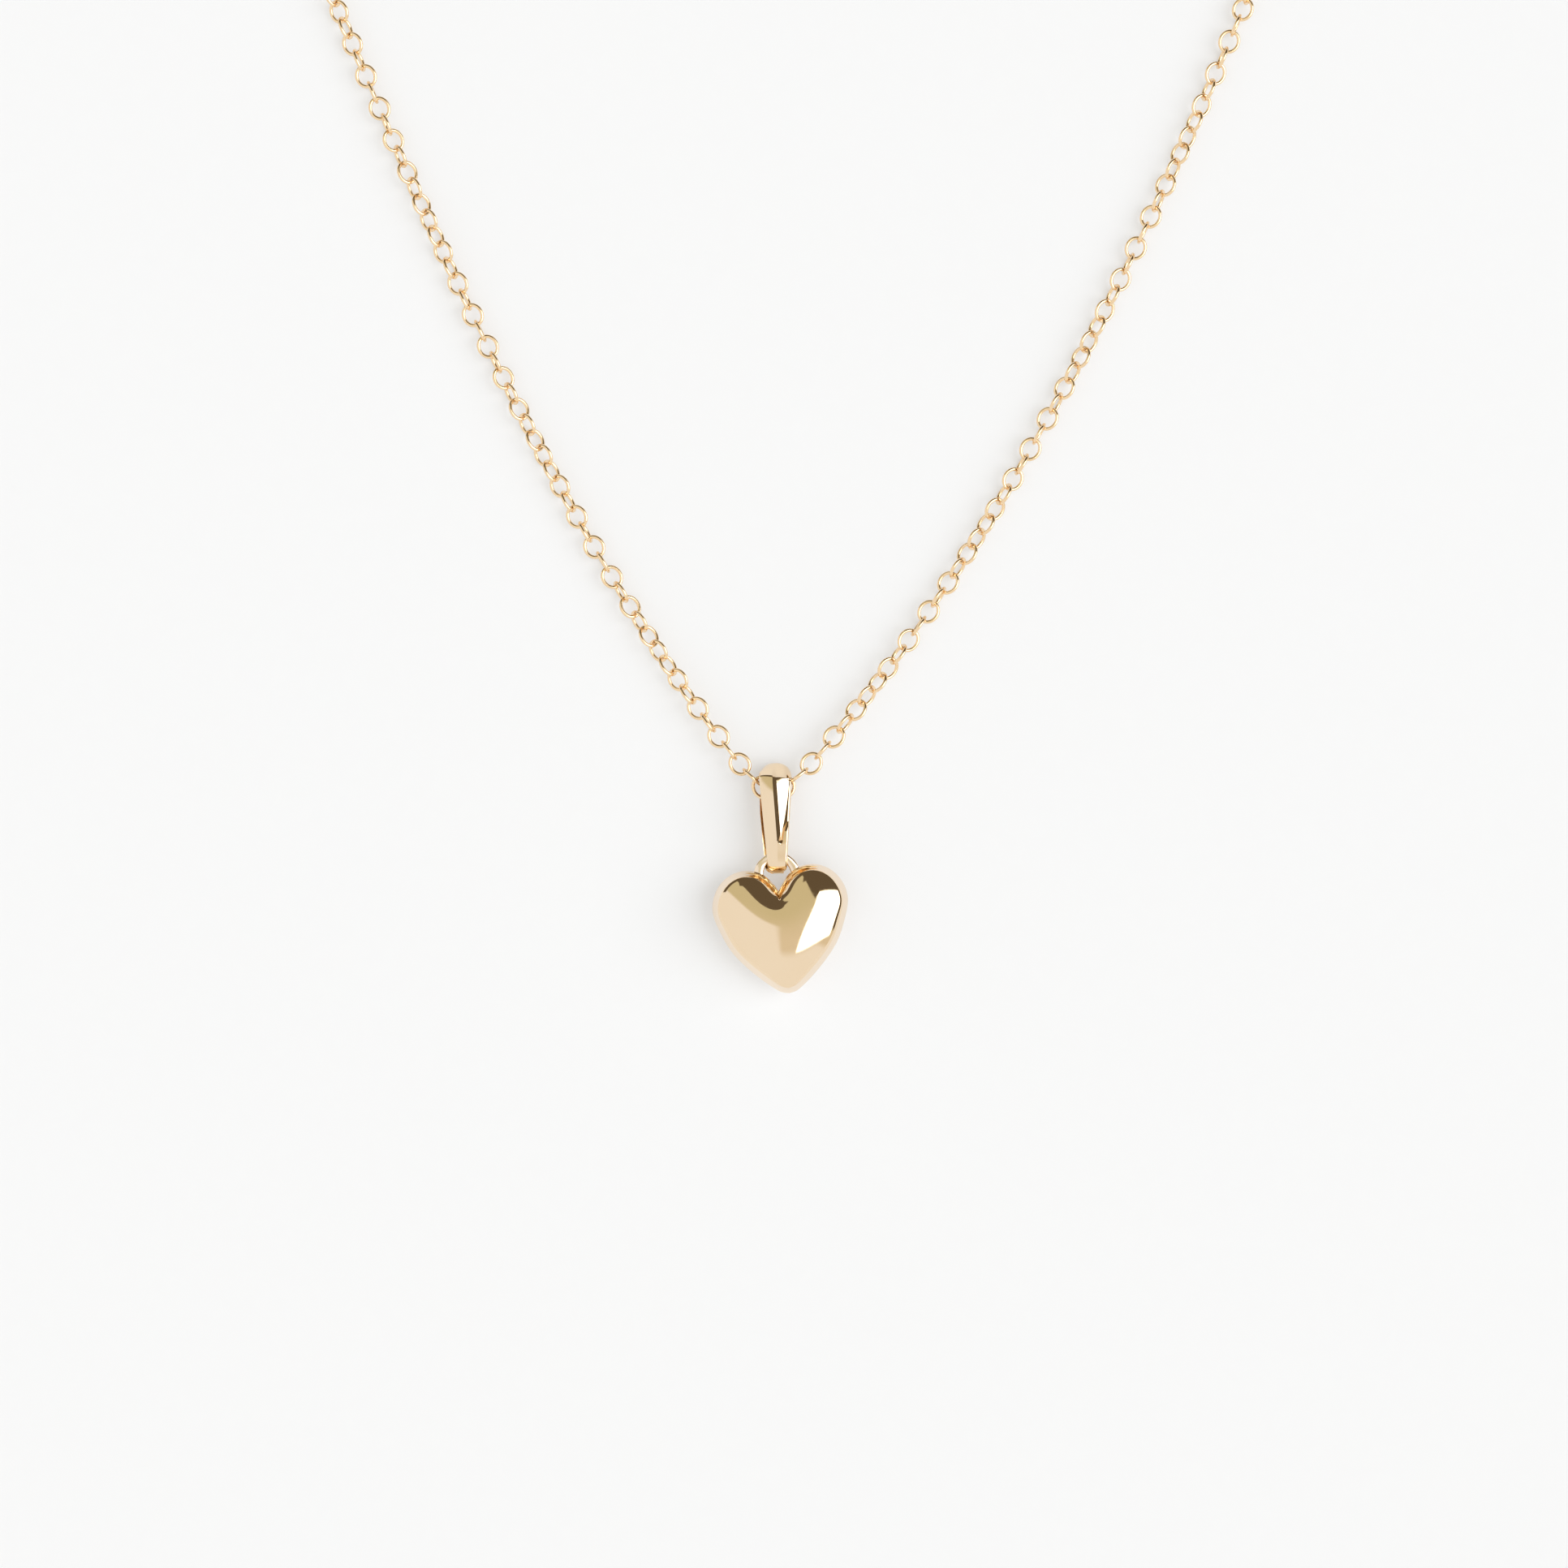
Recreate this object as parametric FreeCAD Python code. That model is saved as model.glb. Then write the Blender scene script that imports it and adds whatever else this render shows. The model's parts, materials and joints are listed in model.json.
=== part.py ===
import FreeCAD, Part
import math
import os

# Pendant necklace lying flat and unclasped: +Z is up from the table, +Y runs from the
# heart towards the clasp, +X is to the wearer's left. All lengths are in millimetres.
# The drawing origin is the middle of the bail's tunnel; ORIGIN moves it to the middle
# of the whole necklace's footprint.
ORIGIN = (2.26, -87.92, 0.0)

# Cable chain: round-wire oval links, each turned a quarter turn from the last.
WIRE_R = 0.11
LINK_LONG = 1.53
LINK_WIDE = 1.35
PITCH = 1.075
LINKS_PER_ARM = 183
RUNS_PER_ARM = 10
CHAIN_Z = 0.69
TUNNEL_Z = 1.15
SETTLE = 8.0

# Distance along an arm to its last link, which stands on edge to take a flat ring.
LAST = (LINKS_PER_ARM - 1) * PITCH

# Each arm leaves the bail with one sharply turned link, then straightens as it goes:
# its lean from +Y is far + extra * exp(-length / ease).
ARMS = {
    "left": {"side": -1, "from": (-1.03, -0.153), "first_lean": 47.4,
             "far": 19.4, "extra": 19.3, "ease": 28.6,
             "twist": ((0, 0), (3, 0), (15, 80), (32, 180), (48, 270), (LAST, 1080))},
    "right": {"side": 1, "from": (0.874, -0.04), "first_lean": 51.3,
              "far": 17.1, "extra": 24.4, "ease": 37.0,
              "twist": ((0, 0), (2, 0), (11, 80), (25, 180), (39, 270), (53, 360), (LAST, 1260))},
}

# The three links inside the bail: centre, direction in degrees, face turned to the sky.
INNER_LINKS = (((-0.84, -0.36), -60.0, True), ((-0.10, -0.56), 0.0, False),
               ((0.66, -0.36), 60.0, True))

# Bail: a strip folded into a long loop between a wide top bend and a small bottom bend.
BAIL_TOP = (0.0, TUNNEL_Z)
BAIL_TOP_R = 1.15
BAIL_BOTTOM = (-5.15, 1.70)
BAIL_BOTTOM_R = 0.55
BAIL_WALL = 0.18
BAIL_HALF_TOP = 1.045
BAIL_HALF_LOW = 0.60
BAIL_HALF_END = 0.52
BAIL_SHOULDER = 0.30
# How far the ridge stands up, by its share of the way down the front.
BAIL_FACETS = ((0.0, 0.01), (0.08, 0.20), (0.96, 0.12), (1.0, 0.01))
BAIL_X = -0.07
BAIL_LEAN = 1.3

# Heart: two hollow domed halves soldered edge to edge.
HEART_AT = (0.375, -8.85, 1.70)
HEART_LEAN = 6.0
HEART_HALF = 1.70
BEVEL_Z = 0.75
HEART_WALL = 0.28
# The hollow's outline as a share of the outer one, and how much of the wall it leaves
# above the bevel.
HOLLOW_SHARE = 0.925
HOLLOW_DROP = 0.6
HEART_MIDDLE = (0.0, 0.2)
# Right half of the outline at the solder seam, from the notch round to the tip.
SEAM = ((0.0, 2.16), (0.45, 2.84), (1.0, 3.32), (2.1, 3.58), (3.25, 3.17), (4.0, 2.2),
        (4.18, 1.2), (3.89, 0.1), (3.35, -1.15), (2.62, -2.15), (1.78, -3.02), (0.85, -3.82),
        (0.38, -4.10), (0.0, -4.18))
# The same for the crisp edge where the bevelled side meets the dome.
EDGE = ((0.0, 1.60), (0.62, 2.50), (1.15, 2.98), (2.1, 3.25), (3.07, 2.88), (3.68, 2.05),
        (3.85, 1.2), (3.58, 0.2), (3.06, -1.0), (2.37, -1.93), (1.55, -2.76), (0.72, -3.50),
        (0.32, -3.76), (0.0, -3.84))
# Dome sections: share of the edge's size, share of the dome's height.
DOME = ((1.0, 0.0), (0.94, 0.26), (0.84, 0.50), (0.68, 0.73), (0.48, 0.89), (0.25, 0.975))

# Half ring soldered across the notch, in the heart's own frame.
LOOP_AT = (0.0, 3.12)
LOOP_R = 1.155
LOOP_BAND = 0.215
LOOP_THICK = 0.15

# Clasp end.
RING_Z = 0.5
JUMP_R = 0.85
JUMP_WIRE = 0.18
EYE_R = 0.36
EYE_WIRE = 0.13
EYE_SEAT = (150.0, 210.0)
GAP = 0.02
CLASP_R = 2.2
TUBE_R = 0.5
BORE_R = 0.36
BOLT_R = 0.32
MOUTH = (15.0, 75.0)
BOLT = (-35.0, 81.0)
KNOB_AT = -5.0
TRAVEL = 62.0
STOP = (200.0, 210.0)
NECK_R = 0.16
KNOB_R = 0.32
KNOB_OUT = 0.95
SLOT_HALF = 0.2
SPRING_TURNS = 14
SPRING_R = 0.24
SPRING_WIRE = 0.06
END_R = 1.25
END_WIRE = 0.22

Z = FreeCAD.Vector(0, 0, 1)
os.makedirs("parts", exist_ok=True)


def vec(x, y, z=0.0):
    return FreeCAD.Vector(x, y, z)


def placed(shape, at, along, normal):
    """A copy with its own X along `along` and its own Z along `normal`."""
    along = FreeCAD.Vector(along).normalize()
    normal = FreeCAD.Vector(normal).normalize()
    side = normal.cross(along)
    m = FreeCAD.Matrix(along.x, side.x, normal.x, at.x,
                       along.y, side.y, normal.y, at.y,
                       along.z, side.z, normal.z, at.z,
                       0, 0, 0, 1)
    copy = shape.copy()
    copy.Placement = FreeCAD.Placement(m)
    return copy


def write(name, shapes):
    """One STEP file per node, moved into the part's frame."""
    group = shapes[0] if len(shapes) == 1 else Part.makeCompound(shapes)
    group = group.copy()
    group.translate(vec(*ORIGIN))
    group.exportStep("parts/" + name + ".step")


def tell(name, at, axis):
    """Prints where a joint turns, in metres in the part's frame."""
    p = (at + vec(*ORIGIN)) * 0.001
    print("JOINT", name, round(p.x, 7), round(p.y, 7), round(p.z, 7),
          round(axis.x, 6), round(axis.y, 6), round(axis.z, 6))


def arc_tube(big, small, start, end):
    """A bent rod of radius `small` round the Z axis, between two angles in degrees."""
    circle = Part.makeCircle(small, vec(big, 0), vec(0, 1))
    rod = Part.Face(Part.Wire(circle)).revolve(vec(0, 0), Z, end - start)
    rod.rotate(vec(0, 0), Z, start)
    return rod


def make_link():
    """One oval link: two half rings joined by two short straights."""
    bend = LINK_WIDE / 2 - WIRE_R
    straight = LINK_LONG - LINK_WIDE
    left = arc_tube(bend, WIRE_R, 90, 270)
    left.translate(vec(-straight / 2, 0))
    right = arc_tube(bend, WIRE_R, -90, 90)
    right.translate(vec(straight / 2, 0))
    link = left.fuse(right)
    for side in (-1, 1):
        start = vec(-straight / 2, side * bend)
        link = link.fuse(Part.makeCylinder(WIRE_R, straight, start, vec(1, 0)))
    return link.removeSplitter().Solids[0]


def twist_at(stops, length):
    for (s0, a0), (s1, a1) in zip(stops, stops[1:]):
        if length <= s1:
            return a0 + (a1 - a0) * (length - s0) / (s1 - s0)
    return stops[-1][1]


def height_at(length):
    return CHAIN_Z + (TUNNEL_Z - CHAIN_Z) * math.exp(-((length / SETTLE) ** 2))


def arm_pivots(arm):
    """The points where each link of an arm meets the next, from the bail outwards."""
    side = arm["side"]
    reach = LINK_LONG - 2 * WIRE_R
    lean = math.radians(arm["first_lean"])
    start = vec(arm["from"][0], arm["from"][1], TUNNEL_Z)
    first = start + vec(side * math.sin(lean), math.cos(lean)) * (reach / 2 + PITCH / 2)
    points = [start, first]
    for i in range(1, LINKS_PER_ARM):
        length = (i - 0.5) * PITCH
        lean = math.radians(arm["far"] + arm["extra"] * math.exp(-length / arm["ease"]))
        step = vec(side * math.sin(lean), math.cos(lean)) * PITCH
        nxt = points[-1] + step
        nxt.z = height_at(i * PITCH)
        points.append(nxt)
    return points


def arm_links(link, arm, points):
    """Every link of an arm, set midway between its two meeting points."""
    made = []
    for i in range(LINKS_PER_ARM):
        along = (points[i + 1] - points[i]).normalize()
        middle = (points[i] + points[i + 1]) * 0.5
        if i == 0:
            middle = points[0] + along * (LINK_LONG / 2 - WIRE_R)
        turn = math.radians(90 * ((i + 1) % 2) + twist_at(arm["twist"], i * PITCH))
        across = Z.cross(along)
        up = along.cross(across)
        normal = up * math.cos(turn) + across * math.sin(turn)
        made.append(placed(link, middle, along, normal))
    return made


def run_bounds():
    """First link number of each run, and one past the last."""
    return [round(k * LINKS_PER_ARM / RUNS_PER_ARM) for k in range(RUNS_PER_ARM + 1)]


def make_arm(link, name, arm):
    points = arm_pivots(arm)
    links = arm_links(link, arm, points)
    bounds = run_bounds()
    for k in range(RUNS_PER_ARM):
        node = "chain_%s_%02d" % (name, k + 1)
        write(node, links[bounds[k]:bounds[k + 1]])
        at = points[bounds[k]]
        lifts = k % 3 == 2
        along = (points[bounds[k] + 1] - at).normalize()
        sign = 1 if k % 3 == 0 else -1
        axis = along.cross(Z).normalize() if lifts else Z * sign
        tell(node + (" lift" if lifts else " bend"), at, axis)
    last = (points[-1] + points[-2]) * 0.5
    return last, (points[-1] - points[-2]).normalize()


def make_inner_links(link):
    made = []
    for (x, y), angle, flat in INNER_LINKS:
        a = math.radians(angle)
        along = vec(math.cos(a), math.sin(a))
        normal = Z if flat else Z.cross(along)
        made.append(placed(link, vec(x, y, TUNNEL_Z), along, normal))
    return made


def side_loop(r_top, r_bottom):
    """The bail seen from the side: two round ends joined by straight tangents."""
    top = vec(0, *BAIL_TOP)
    low = vec(0, *BAIL_BOTTOM)
    span = low - top
    u = FreeCAD.Vector(span).normalize()
    n = vec(1, 0).cross(u)
    c = (r_top - r_bottom) / span.Length
    s = math.sqrt(1 - c * c)
    front = u * c - n * s
    back = u * c + n * s
    t1, t2 = top + front * r_top, top + back * r_top
    b1, b2 = low + front * r_bottom, low + back * r_bottom
    edges = [Part.makeLine(t1, b1), Part.Arc(b1, low + u * r_bottom, b2).toShape(),
             Part.makeLine(b2, t2), Part.Arc(t2, top - u * r_top, t1).toShape()]
    return Part.Wire(edges), (t2, b2) if t2.z > t1.z else (t1, b1)


def front_outline():
    """The bail seen from the front: arched top, straight taper, narrow lower end."""
    arch = []
    steps = 12
    power = 2.3
    rise = BAIL_TOP_R + BAIL_TOP[0] - BAIL_SHOULDER
    for i in range(steps + 1):
        a = math.pi / 2 * i / steps
        x = BAIL_HALF_TOP * math.cos(a) ** (2 / power) if i < steps else 0.0
        arch.append((x, BAIL_SHOULDER + rise * math.sin(a) ** (2 / power)))
    low = BAIL_BOTTOM[0]
    right = [(BAIL_HALF_END, low - BAIL_BOTTOM_R - 0.1), (BAIL_HALF_LOW, low)] + arch
    points = right + [(-x, y) for x, y in reversed(right[:-1])]
    wire = Part.makePolygon([vec(x, y) for x, y in points + points[:1]])
    return Part.Face(wire).extrude(vec(0, 0, 5))


def ridge(front):
    """The shallow two-faced ridge down the front of the bail."""
    top, low = front
    sections = []
    for share, rise in BAIL_FACETS:
        half = BAIL_HALF_TOP + (BAIL_HALF_LOW - BAIL_HALF_TOP) * share
        p = top + (low - top) * share
        base = p.z - BAIL_WALL / 4
        sections.append(Part.makePolygon([vec(-half, p.y, base), vec(half, p.y, base),
                                          vec(half, p.y, p.z), vec(0, p.y, p.z + rise),
                                          vec(-half, p.y, p.z), vec(-half, p.y, base)]))
    return Part.makeLoft(sections, True, True)


def make_bail():
    outer, front = side_loop(BAIL_TOP_R, BAIL_BOTTOM_R)
    inner, _ = side_loop(BAIL_TOP_R - BAIL_WALL, BAIL_BOTTOM_R - BAIL_WALL)
    solids = []
    for wire in (outer, inner):
        wire.translate(vec(-2 * BAIL_HALF_TOP, 0))
        solids.append(Part.Face(wire).extrude(vec(4 * BAIL_HALF_TOP, 0)))
    strip = solids[0].common(front_outline())
    strip = strip.fuse(ridge(front)).cut(solids[1])
    bail = strip.common(front_outline()).removeSplitter().Solids[0]
    bail.rotate(vec(0, BAIL_TOP_R), Z, BAIL_LEAN)
    bail.translate(vec(BAIL_X, 0))
    return bail


def heart_wire(points, share, z):
    """A closed heart outline, shrunk about the heart's middle."""
    cx, cy = HEART_MIDDLE
    right = [vec(cx + (x - cx) * share, cy + (y - cy) * share, z) for x, y in points]
    left = [vec(-p.x, p.y, p.z) for p in reversed(right)]
    edges = []
    for side in (right, left):
        curve = Part.BSplineCurve()
        curve.interpolate(side)
        edges.append(curve.toShape())
    return Part.Wire(edges)


def heart_half(share, base, bevel, top):
    """One domed half as a full solid: bevelled side, then dome."""
    side = Part.makeLoft([heart_wire(SEAM, share, base), heart_wire(EDGE, share, bevel)], True, True)
    sections = [heart_wire(EDGE, share * f, bevel + (top - bevel) * h) for f, h in DOME]
    cx, cy = HEART_MIDDLE
    sections.append(Part.Vertex(cx, cy, top))
    return side.fuse(Part.makeLoft(sections, True, False))


def make_heart():
    """Front shell, back shell and the half ring across the notch."""
    full = heart_half(1.0, 0.0, BEVEL_Z, HEART_HALF)
    hollow = heart_half(HOLLOW_SHARE, -0.02, BEVEL_Z - HEART_WALL * HOLLOW_DROP,
                        HEART_HALF - HEART_WALL)
    front = full.cut(hollow).Solids[0]
    back = front.mirror(vec(0, 0), Z)
    ring = Part.makeCylinder(LOOP_R + LOOP_BAND, 2 * LOOP_THICK, vec(0, 0, -LOOP_THICK))
    ring = ring.cut(Part.makeCylinder(LOOP_R - LOOP_BAND, 2 * LOOP_THICK, vec(0, 0, -LOOP_THICK)))
    ring = ring.common(Part.makeBox(4, 2, 2, vec(-2, 0, -1)))
    ring.translate(vec(*LOOP_AT))
    ring = ring.cut(full).cut(full.mirror(vec(0, 0), Z))
    loop = max(ring.Solids, key=lambda s: s.Volume)
    made = [front, back, loop]
    for shape in made:
        shape.rotate(vec(0, 0), Z, HEART_LEAN)
        shape.translate(vec(*HEART_AT))
    return made


def make_spring():
    """The coil spring, bent to the tube, from the bolt's tail to the stop."""
    start, end = STOP[1] - 360 + 1.0, BOLT[0] - 1.0
    points = []
    per_turn = 12
    count = SPRING_TURNS * per_turn
    for i in range(count + 1):
        a = math.radians(start + (end - start) * i / count)
        b = 2 * math.pi * i / per_turn
        r = CLASP_R + SPRING_R * math.cos(b)
        points.append(vec(r * math.cos(a), r * math.sin(a), SPRING_R * math.sin(b)))
    curve = Part.BSplineCurve()
    curve.interpolate(points)
    path = Part.Wire(curve.toShape())
    heading = curve.tangent(curve.FirstParameter)[0]
    quarters = [Part.makeCircle(SPRING_WIRE, points[0], heading, 90 * k, 90 * (k + 1))
                for k in range(4)]
    return path.makePipeShell([Part.Wire(quarters)], True, True)


def make_clasp():
    """Shell, eye, bolt and spring about the clasp's own centre; the eye points to -X."""
    shell = arc_tube(CLASP_R, TUBE_R, MOUTH[1], MOUTH[0] + 360)
    shell = shell.cut(arc_tube(CLASP_R, BORE_R, STOP[1] - 360, MOUTH[0] + 1))
    shell = shell.cut(arc_tube(CLASP_R, BORE_R, MOUTH[1] - 1, STOP[0]))
    margin = math.degrees(SLOT_HALF / CLASP_R)
    slot = Part.makeBox(1.0, 0.001, 2 * SLOT_HALF, vec(CLASP_R + 0.1, 0, -SLOT_HALF)).Faces
    side = max(slot, key=lambda f: f.Area)
    window = side.revolve(vec(0, 0), Z, TRAVEL + 2 * margin)
    window.rotate(vec(0, 0), Z, KNOB_AT - TRAVEL - margin)
    shell = shell.cut(window).Solids[0]

    bolt = arc_tube(CLASP_R, BOLT_R, BOLT[0], BOLT[1])
    neck = Part.makeCylinder(NECK_R, KNOB_OUT, vec(CLASP_R, 0), vec(1, 0))
    knob = Part.makeSphere(KNOB_R, vec(CLASP_R + KNOB_OUT, 0))
    grip = neck.fuse(knob)
    grip.rotate(vec(0, 0), Z, KNOB_AT)
    bolt = bolt.fuse(grip).removeSplitter().Solids[0]

    eye = Part.makeTorus(EYE_R, EYE_WIRE, vec(0, 0), vec(0, 1))
    eye.translate(vec(-(CLASP_R + TUBE_R + EYE_R - GAP), 0, 0))
    eye = eye.cut(arc_tube(CLASP_R, TUBE_R, *EYE_SEAT)).Solids[0]
    return {"clasp_shell": shell, "clasp_eye": eye, "clasp_bolt": bolt, "clasp_spring": make_spring()}


def ring_reach(wire):
    """How far past the last link's middle a flat ring's wire comes, inside its end bend."""
    room = LINK_WIDE / 2 - 2 * WIRE_R - wire - GAP
    drop = CHAIN_Z - RING_Z
    return (LINK_LONG - LINK_WIDE) / 2 + math.sqrt(room ** 2 - drop ** 2)


def clasp_end(last, along):
    """The jump ring and clasp on the left arm's last link."""
    flat = FreeCAD.Vector(along.x, along.y, 0).normalize()
    last = vec(last.x, last.y, RING_Z)
    hook = last + flat * (LINK_LONG / 2 - WIRE_R)
    centre = last + flat * (ring_reach(JUMP_WIRE) + JUMP_R)
    ring = Part.makeTorus(JUMP_R, JUMP_WIRE, centre, Z)
    write("clasp_jump_ring", [ring])
    tell("clasp_jump_ring", hook, Z)
    eye_wire = centre + flat * (JUMP_R - JUMP_WIRE - GAP - EYE_WIRE)
    tell("clasp", eye_wire, Z)
    clasp_at = eye_wire + flat * (2 * EYE_R + CLASP_R + TUBE_R - GAP)
    for name, shape in make_clasp().items():
        write(name, [placed(shape, clasp_at, flat, Z)])
    tell("clasp_bolt", clasp_at, Z * -1)


def ring_end(last, along):
    """The plain ring on the right arm's last link, which the clasp hooks into."""
    flat = FreeCAD.Vector(along.x, along.y, 0).normalize()
    last = vec(last.x, last.y, RING_Z)
    centre = last + flat * (ring_reach(END_WIRE) + END_R)
    write("end_ring", [Part.makeTorus(END_R, END_WIRE, centre, Z)])
    tell("end_ring", last + flat * (LINK_LONG / 2 - WIRE_R), Z)
    tell("end_ring_centre", centre, Z)


link = make_link()
write("chain_in_bail", make_inner_links(link))
clasp_end(*make_arm(link, "left", ARMS["left"]))
ring_end(*make_arm(link, "right", ARMS["right"]))

write("bail", [make_bail()])
tell("bail", vec(BAIL_X, *BAIL_TOP), vec(1, 0))

front, back, loop = make_heart()
write("heart_front_shell", [front])
write("heart_back_shell", [back])
write("heart_loop", [loop])
lean = math.radians(HEART_LEAN)
up = LOOP_AT[1] + LOOP_R
tell("heart", vec(HEART_AT[0] - up * math.sin(lean), HEART_AT[1] + up * math.cos(lean), HEART_AT[2]),
     vec(math.cos(lean), math.sin(lean)))
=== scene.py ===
import bpy
import json
import math
import numpy as np
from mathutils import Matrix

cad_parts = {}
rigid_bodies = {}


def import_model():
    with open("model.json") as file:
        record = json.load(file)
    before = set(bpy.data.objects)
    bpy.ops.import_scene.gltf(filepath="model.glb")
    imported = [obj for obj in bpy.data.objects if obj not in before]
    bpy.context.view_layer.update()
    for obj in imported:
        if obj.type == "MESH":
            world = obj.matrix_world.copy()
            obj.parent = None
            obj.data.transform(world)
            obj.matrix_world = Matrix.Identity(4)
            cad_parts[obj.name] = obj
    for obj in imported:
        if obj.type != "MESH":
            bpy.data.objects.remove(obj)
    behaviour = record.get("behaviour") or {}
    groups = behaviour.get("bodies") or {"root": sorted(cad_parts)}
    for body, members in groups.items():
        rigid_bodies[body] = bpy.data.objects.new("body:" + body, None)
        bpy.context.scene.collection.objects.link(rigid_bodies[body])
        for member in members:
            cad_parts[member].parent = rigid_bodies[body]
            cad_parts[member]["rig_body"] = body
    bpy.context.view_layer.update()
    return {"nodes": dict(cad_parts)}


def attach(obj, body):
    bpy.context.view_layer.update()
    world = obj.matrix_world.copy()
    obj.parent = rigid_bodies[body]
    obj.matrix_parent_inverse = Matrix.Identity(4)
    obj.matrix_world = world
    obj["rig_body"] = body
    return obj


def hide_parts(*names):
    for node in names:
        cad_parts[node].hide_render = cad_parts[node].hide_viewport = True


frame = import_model()

# Lengths in this script are in millimetres, in the necklace's own frame, until they are
# put in a mesh. MM turns them into metres.
MM = 0.001
ORIGIN = np.array((2.26, -87.92, 0.0))

# Camera: looks straight down on the pendant and the start of both arms.
LOOK_FROM_BAIL = (0.475, -0.15, 0.7)
CAMERA_UP = 420.0
VIEW_WIDE = 96.6

# Chain link.
WIRE_R = 0.11
LINK_LONG = 1.53
LINK_WIDE = 1.35
INNER_LINK_IN = 0.15

# Bail, seen from its side: (how far up from the tunnel, height), from the front's top
# down to the foot, under it and back up behind.
BAIL_SIDE = ((0.30, 2.345), (0.05, 2.372), (-0.35, 2.412), (-1.1, 2.475), (-1.85, 2.50),
             (-2.7, 2.456), (-3.6, 2.314), (-4.4, 2.144), (-4.95, 2.03), (-5.2, 1.955),
             (-5.42, 1.81), (-5.59, 1.58), (-5.66, 1.30), (-5.56, 1.05), (-5.2, 0.96),
             (-4.4, 0.88), (-3.0, 0.66), (-1.5, 0.34), (-0.3, 0.10), (0.40, 0.03),
             (0.85, 0.06), (1.08, 0.24), (1.15, 0.55), (1.12, 0.98), (1.03, 1.36),
             (0.90, 1.67), (0.75, 1.93), (0.62, 2.10), (0.52, 2.215), (0.45, 2.282),
             (0.38, 2.325))
BAIL_WIDE_AT = 0.2
BAIL_HALF_TOP = 1.01
BAIL_HALF_LOW = 0.60
BAIL_FOOT_ROUND = 0.56
BAIL_FOOT_END = 0.97
BAIL_LOW_AT = -5.15
BAIL_STRIP = 0.18
BAIL_ARCH = 2.3
BAIL_SKEW = 0.16
BAIL_BACK_NARROWER = 0.22
BAIL_EDGE_SAG = 0.12
BAIL_LOOP_POINTS = 400
BAIL_SHARP_DEGREES = 24
# The strip's underside, drawn in a deeper orange gold as a painted reflection: below this y, or lower
# than this height and in front of the bend.
PAINTED_BACK_Y = -5.2
PAINTED_BACK_Z = 1.4
PAINTED_BACK_BEND_Y = 0.2

# Creases of the bail's front. A step runs down it beside the ridge, with a rolled facet to
# its right. A flat plate comes in from the right and closes the step lower down.
RIDGE_TOP_X = -0.19
RIDGE_DOWN_TO = 3.5
RIGHT_EDGE = 0.13
STEP_WIDE = 0.25
STEP_END_Y = -3.68
STEP_END_LONG = 0.2
PLATE_Y = -2.5
PLATE_LONG = 1.35
ROLL_TOP_IN = 0.05
# Least space between two creases, the step's own space from the ridge, and the width over
# which a tilt changes at a sharp crease.
CREASE = 0.02
TOUCH = 0.002
THIN = 1e-5
# Points between each crease and the next, from the left edge to the right.
BAIL_CUTS = (30, 4, 5, 14, 6, 8, 9)
# Tilt of the front in degrees at each place in bail_front_drop, and where the step closes.
EDGE_TILTS = (-70.0, -45.0, -9.0, -9.0, 2.0, 2.0)
STEP_TILTS = (39.5, 39.5, 12.0, 35.0, 43.0)
PLATE_TILTS = (4.0, 5.0, 80.0)
CLOSED_TILT = 2.0
EDGE_BEVELS = (0.03, 0.09)
# The front sinks towards its right side above this y.
SINK_Y = -0.9
SINK_DEEP = 0.05
# Where the faceted front gives way to the plain bends at its foot and its top: by height at
# the foot, and by how far the strip faces up at the top.
FOOT_ROLL_Z = 0.8
FOOT_ROLL_HIGH = 1.5
TOP_ROLL_FACING = 0.55
TOP_ROLL_LONG = 0.40
BEHIND_FACING = 0.6

BAIL_PIVOT_Y = 1.15
BAIL_X = -0.07
BAIL_LEAN = 1.3

# Heart.
HEART_AT = (0.375, -8.85, 1.70)
HEART_LEAN = 6.0
HEART_HALF = 1.70
BEVEL_Z = 0.75
DOME_MIDDLE = (0.0, 0.3)
DOME_RINGS = 70
DOME_POWER = 0.6
DOME_SOFT = 0.02
NOTCH_LIFT = 0.725
NOTCH_LIFT_AT = 0.05
NOTCH_LIFT_WIDE = 0.45
HEART_AROUND = 320
RING_ROUNDING = 9.0
SIDE_ROWS = 12
SIDE_CURVE = 1.25
# Wear on the side by the notch: its centre, reach across and up, and depth.
NOTCH_WEAR_AT = (0.0, 2.9)
NOTCH_WEAR_REACH = (2.2, 1.3)
NOTCH_WEAR_DEEP = 0.03
SEAM = ((0.0, 2.16), (0.45, 2.84), (1.0, 3.32), (2.1, 3.58), (3.25, 3.17), (4.0, 2.2),
        (4.18, 1.2), (3.89, 0.1), (3.35, -1.15), (2.62, -2.15), (1.78, -3.02), (0.85, -3.82),
        (0.38, -4.10), (0.0, -4.18))
EDGE = ((0.0, 1.60), (0.62, 2.50), (1.15, 2.98), (2.1, 3.25), (3.07, 2.88), (3.68, 2.05),
        (3.85, 1.2), (3.58, 0.2), (3.06, -1.0), (2.37, -1.93), (1.55, -2.76), (0.72, -3.50),
        (0.32, -3.76), (0.0, -3.84))
LOOP_AT = (0.0, 3.12)
LOOP_R = 1.155
LOOP_BAND = 0.25
LOOP_FLARE = 0.05
LOOP_THICK = 0.17
LOOP_ROUGH = 0.02
LOOP_LOW = 0.12
LOOP_PAST = 14
SOLDER_OUT = 0.6
SOLDER_WIDE = 0.17
SOLDER_HIGH = 0.20
SOLDER_Z = 0.55
# Outline points that the solder reaches to the left and right of the notch, and the bare
# stretch on its right.
SOLDER_LEFT = 64
SOLDER_RIGHT = 80
SOLDER_BARE_AT = 29
SOLDER_BARE_WIDE = 13
SOLDER_ROUGH = 0.045


# ---------------------------------------------------------------- materials

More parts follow.
